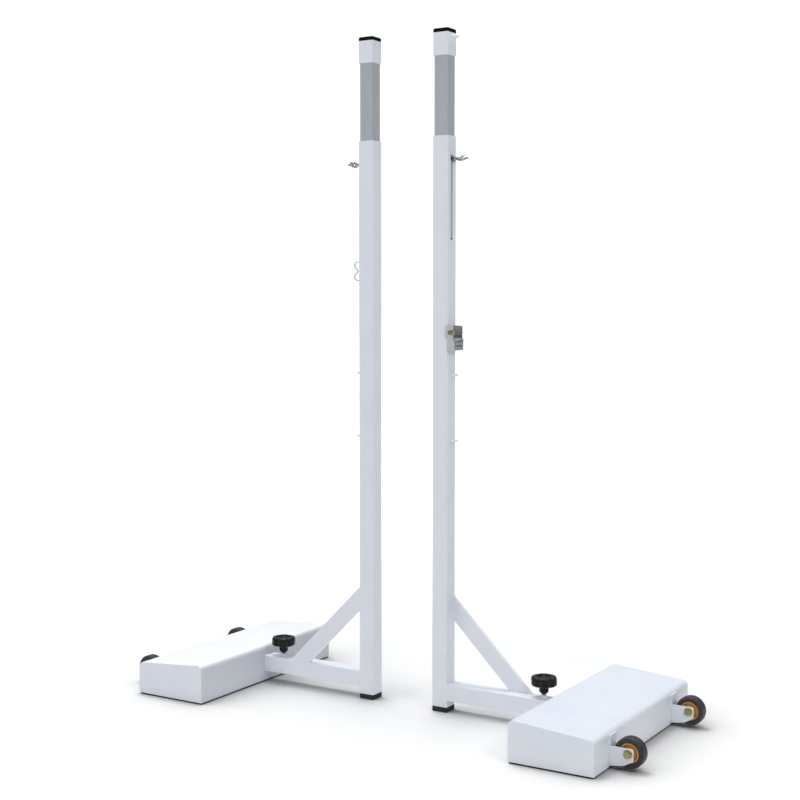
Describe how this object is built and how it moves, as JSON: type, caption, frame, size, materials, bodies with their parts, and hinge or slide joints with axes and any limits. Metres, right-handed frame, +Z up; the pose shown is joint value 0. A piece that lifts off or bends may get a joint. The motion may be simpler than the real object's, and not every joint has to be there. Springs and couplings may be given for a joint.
{
  "type": "volleyball post pair",
  "caption": "Pair of free-standing volleyball net posts: telescopic square posts with lock rings, cord fittings and a strap winch, on wheeled concrete ballast boxes with clamp knobs.",
  "frame": {"origin": "on the floor, midway between the axes of the two posts", "axes": "+X along the line of the net towards the post with the winch, +Y across the net, +Z up"},
  "size_m": [2.084, 0.827, 2.43],
  "materials": {
    "white_coat": "satin powder coat",
    "grey_coat": "satin",
    "cap_plastic": "matt",
    "knob_plastic": "soft sheen",
    "foot_rubber": "matt",
    "mat_rubber": "matt",
    "tyre_rubber": "matt",
    "amber_plastic": "semi gloss",
    "yellow_zinc": "yellow zinc plated",
    "zinc_steel": "zinc plated",
    "plain_steel": "bright steel",
    "dark_steel": "dark phosphate",
    "strap_webbing": "woven webbing",
    "concrete": "cast concrete"
  },
  "bodies": {
    "post_left": {"outer_tube_left": "white_coat", "arm_tube_left": "white_coat", "brace_bar_left": "white_coat", "post_foot_left": "foot_rubber", "knob_nut_left": "white_coat", "cord_cleat": "white_coat", "cord_eyes_left": "white_coat"},
    "upper_post_left": {"inner_tube_left": "grey_coat", "head_sleeve_left": "white_coat", "top_cap_left": "cap_plastic", "glide_plug_left": "cap_plastic", "lock_nut_left": "plain_steel"},
    "lock_screw_left": {"lock_eye_left": "zinc_steel"},
    "ballast_left": {"ballast_shell_left": "white_coat", "concrete_fill_left": "concrete", "floor_mat_left": "mat_rubber", "stub_tube_left": "white_coat", "wheel_forks_left": "white_coat", "axle_bolts_left": "yellow_zinc", "axle_nuts_left": "yellow_zinc", "axle_sleeves_left": "plain_steel"},
    "wheel_left_front": {"tyre_left_front": "tyre_rubber", "wheel_hub_left_front": "amber_plastic"},
    "wheel_left_rear": {"tyre_left_rear": "tyre_rubber", "wheel_hub_left_rear": "amber_plastic"},
    "clamp_knob_left": {"knob_left": "knob_plastic", "knob_stud_left": "plain_steel"},
    "post_right": {"outer_tube_right": "white_coat", "arm_tube_right": "white_coat", "brace_bar_right": "white_coat", "post_foot_right": "foot_rubber", "knob_nut_right": "white_coat", "cord_eyes_right": "white_coat", "winch_frame": "zinc_steel"},
    "upper_post_right": {"inner_tube_right": "grey_coat", "head_sleeve_right": "white_coat", "top_cap_right": "cap_plastic", "glide_plug_right": "cap_plastic", "lock_nut_right": "plain_steel", "head_eye": "white_coat"},
    "lock_screw_right": {"lock_eye_right": "zinc_steel"},
    "ballast_right": {"ballast_shell_right": "white_coat", "concrete_fill_right": "concrete", "floor_mat_right": "mat_rubber", "stub_tube_right": "white_coat", "wheel_forks_right": "white_coat", "axle_bolts_right": "yellow_zinc", "axle_nuts_right": "yellow_zinc", "axle_sleeves_right": "plain_steel"},
    "wheel_right_front": {"tyre_right_front": "tyre_rubber", "wheel_hub_right_front": "amber_plastic"},
    "wheel_right_rear": {"tyre_right_rear": "tyre_rubber", "wheel_hub_right_rear": "amber_plastic"},
    "clamp_knob_right": {"knob_right": "knob_plastic", "knob_stud_right": "plain_steel"},
    "strap_drum": {"winch_drum": "dark_steel", "ratchet_wheel": "zinc_steel", "winch_strap": "strap_webbing", "winch_nut": "yellow_zinc"},
    "pawl_lever": {"winch_pawl": "zinc_steel"}
  },
  "joints": [
    {"name": "post_spacing", "type": "slide", "parent": "post_left", "child": "post_right", "axis": [1, 0, 0], "range_m": [0, 0.3]},
    {"name": "height_left", "type": "slide", "parent": "post_left", "child": "upper_post_left", "axis": [0, 0, 1], "range_m": [-0.275, 0]},
    {"name": "lock_turn_left", "type": "hinge", "parent": "upper_post_left", "child": "lock_screw_left", "pos_m": [-0.186, 0, 1.977], "axis": [-1, 0, 0], "range_deg": [0, 450]},
    {"name": "ballast_pull_left", "type": "slide", "parent": "post_left", "child": "ballast_left", "axis": [-1, 0, 0], "range_m": [0, 0.1]},
    {"name": "knob_turn_left", "type": "hinge", "parent": "post_left", "child": "clamp_knob_left", "pos_m": [-0.558, 0, 0.118], "axis": [0, 0, 1], "range_deg": [0, 540]},
    {"name": "wheel_roll_left_front", "type": "hinge", "parent": "ballast_left", "child": "wheel_left_front", "pos_m": [-0.992, -0.271, 0.059], "axis": [0, 1, 0], "continuous": true},
    {"name": "wheel_roll_left_rear", "type": "hinge", "parent": "ballast_left", "child": "wheel_left_rear", "pos_m": [-0.992, 0.271, 0.059], "axis": [0, 1, 0], "continuous": true},
    {"name": "height_right", "type": "slide", "parent": "post_right", "child": "upper_post_right", "axis": [0, 0, 1], "range_m": [-0.275, 0]},
    {"name": "lock_turn_right", "type": "hinge", "parent": "upper_post_right", "child": "lock_screw_right", "pos_m": [0.186, 0, 1.977], "axis": [1, 0, 0], "range_deg": [0, 450]},
    {"name": "ballast_pull_right", "type": "slide", "parent": "post_right", "child": "ballast_right", "axis": [1, 0, 0], "range_m": [0, 0.1]},
    {"name": "knob_turn_right", "type": "hinge", "parent": "post_right", "child": "clamp_knob_right", "pos_m": [0.558, 0, 0.118], "axis": [0, 0, 1], "range_deg": [0, 540]},
    {"name": "wheel_roll_right_front", "type": "hinge", "parent": "ballast_right", "child": "wheel_right_front", "pos_m": [0.992, -0.271, 0.059], "axis": [0, 1, 0], "continuous": true},
    {"name": "wheel_roll_right_rear", "type": "hinge", "parent": "ballast_right", "child": "wheel_right_rear", "pos_m": [0.992, 0.271, 0.059], "axis": [0, 1, 0], "continuous": true},
    {"name": "drum_turn", "type": "hinge", "parent": "post_right", "child": "strap_drum", "pos_m": [0.2035, 0, 1.367], "axis": [0, 1, 0], "continuous": true},
    {"name": "pawl_lift", "type": "hinge", "parent": "post_right", "child": "pawl_lever", "pos_m": [0.209, 0, 1.343], "axis": [0, 1, 0], "range_deg": [0, 25]}
  ]
}
